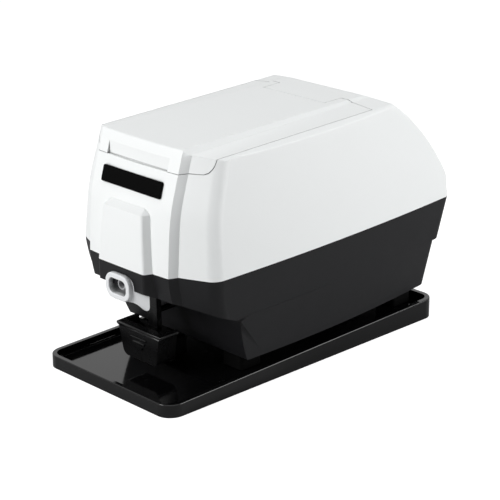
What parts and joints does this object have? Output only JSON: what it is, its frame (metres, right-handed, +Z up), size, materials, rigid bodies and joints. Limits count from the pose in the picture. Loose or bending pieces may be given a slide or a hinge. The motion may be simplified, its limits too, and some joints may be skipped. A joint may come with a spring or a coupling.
{
  "type": "hot lather machine",
  "caption": "Countertop hot lather machine with a hinged soap lid, oval spout and push lever, standing on a shallow rimmed tray.",
  "frame": {"origin": "middle of the tray's underside, on the table", "axes": "+Z up, -Y towards the spout and the push lever, +X to the right seen from behind the machine"},
  "size_m": [0.1629, 0.3231, 0.2001],
  "materials": {
    "white_shell": "satin white moulding",
    "black_shell": "fine satin black moulding",
    "black_gloss": "polished black",
    "white_spout": "smooth white",
    "button_black": "satin black",
    "badge_black": "gloss black, no lettering",
    "rubber": "matte",
    "seal_rubber": "matte red-brown silicone",
    "steel": "brushed",
    "zinc_sheet": "zinc plated sheet",
    "aluminium": "as cast, machined faces",
    "brass": "turned",
    "copper": "enamelled copper windings",
    "lamination": "varnished steel laminations",
    "nylon": "natural nylon",
    "grey_plastic": "matte"
  },
  "bodies": {
    "machine": {"drip_tray": "black_gloss", "top_housing": "white_shell", "base_housing": "black_shell", "bottom_plate": "black_shell", "badge_plate": "badge_black", "spout": "white_spout", "pivot_pin": "steel", "return_spring": "steel", "switch_bracket": "grey_plastic", "switch_body": "grey_plastic", "lather_chamber": "aluminium", "chamber_end_cap": "aluminium", "shaft_seal": "seal_rubber", "outlet_nozzle": "brass", "chamber_stay": "zinc_sheet", "cartridge_heater": "steel", "thermostat": "grey_plastic", "thermal_fuse": "steel", "stator_stack": "lamination", "motor_cradle": "zinc_sheet", "reservoir_tank": "nylon", "feed_seal": "seal_rubber", "strainer": "nylon", "terminal_block": "nylon", "rocker_frame": "button_black", "cord_gland": "rubber", "hinge_pins": "steel", "rubber_feet": "rubber", "shaft_bushes": "brass", "stator_coils": "copper", "end_brackets": "zinc_sheet", "motor_spacers": "steel", "motor_bolts": "steel", "flange_screws": "steel", "switch_screws": "steel", "joint_screws": "steel", "plate_screws": "steel", "mounting_screws": "steel"},
    "lid": {"reservoir_lid": "white_shell"},
    "button": {"push_button": "button_black"},
    "pushrod": {"pushrod": "nylon"},
    "plunger": {"switch_plunger": "seal_rubber"},
    "drive": {"rotor": "lamination", "drive_shaft": "steel", "whipper": "nylon", "cooling_fan": "nylon"},
    "power_rocker": {"rocker_key": "button_black"}
  },
  "joints": [
    {"name": "lid_hinge", "type": "hinge", "parent": "machine", "child": "lid", "pos_m": [0, 0.06317, 0.19148], "axis": [-1, 0, 0], "range_deg": [0, 95]},
    {"name": "push_lever", "type": "hinge", "parent": "machine", "child": "button", "pos_m": [0, -0.10273, 0.07519], "axis": [1, 0, 0], "range_deg": [0, 9], "stiffness_Nm_per_rad": 0.5, "springref_deg": -20.05},
    {"name": "pushrod_slide", "type": "slide", "parent": "machine", "child": "pushrod", "axis": [0, 0.9997, 0.0227], "range_m": [0, 0.00395], "deforming": ["return_spring"]},
    {"name": "plunger_slide", "type": "slide", "parent": "machine", "child": "plunger", "axis": [0, 0.9997, 0.0227], "range_m": [0, 0.00395]},
    {"name": "drive_spin", "type": "hinge", "parent": "machine", "child": "drive", "pos_m": [0, -0.00204, 0.08998], "axis": [0, 0.9997, 0.0227], "continuous": true},
    {"name": "power_rocker", "type": "hinge", "parent": "machine", "child": "power_rocker", "pos_m": [-0.034, 0.16361, 0.08634], "axis": [1, 0, 0], "range_deg": [0, 16]}
  ],
  "couplings": [
    {"joint": "pushrod_slide", "follows": "push_lever", "m_per_rad": 0.025},
    {"joint": "plunger_slide", "follows": "push_lever", "m_per_rad": 0.025}
  ]
}
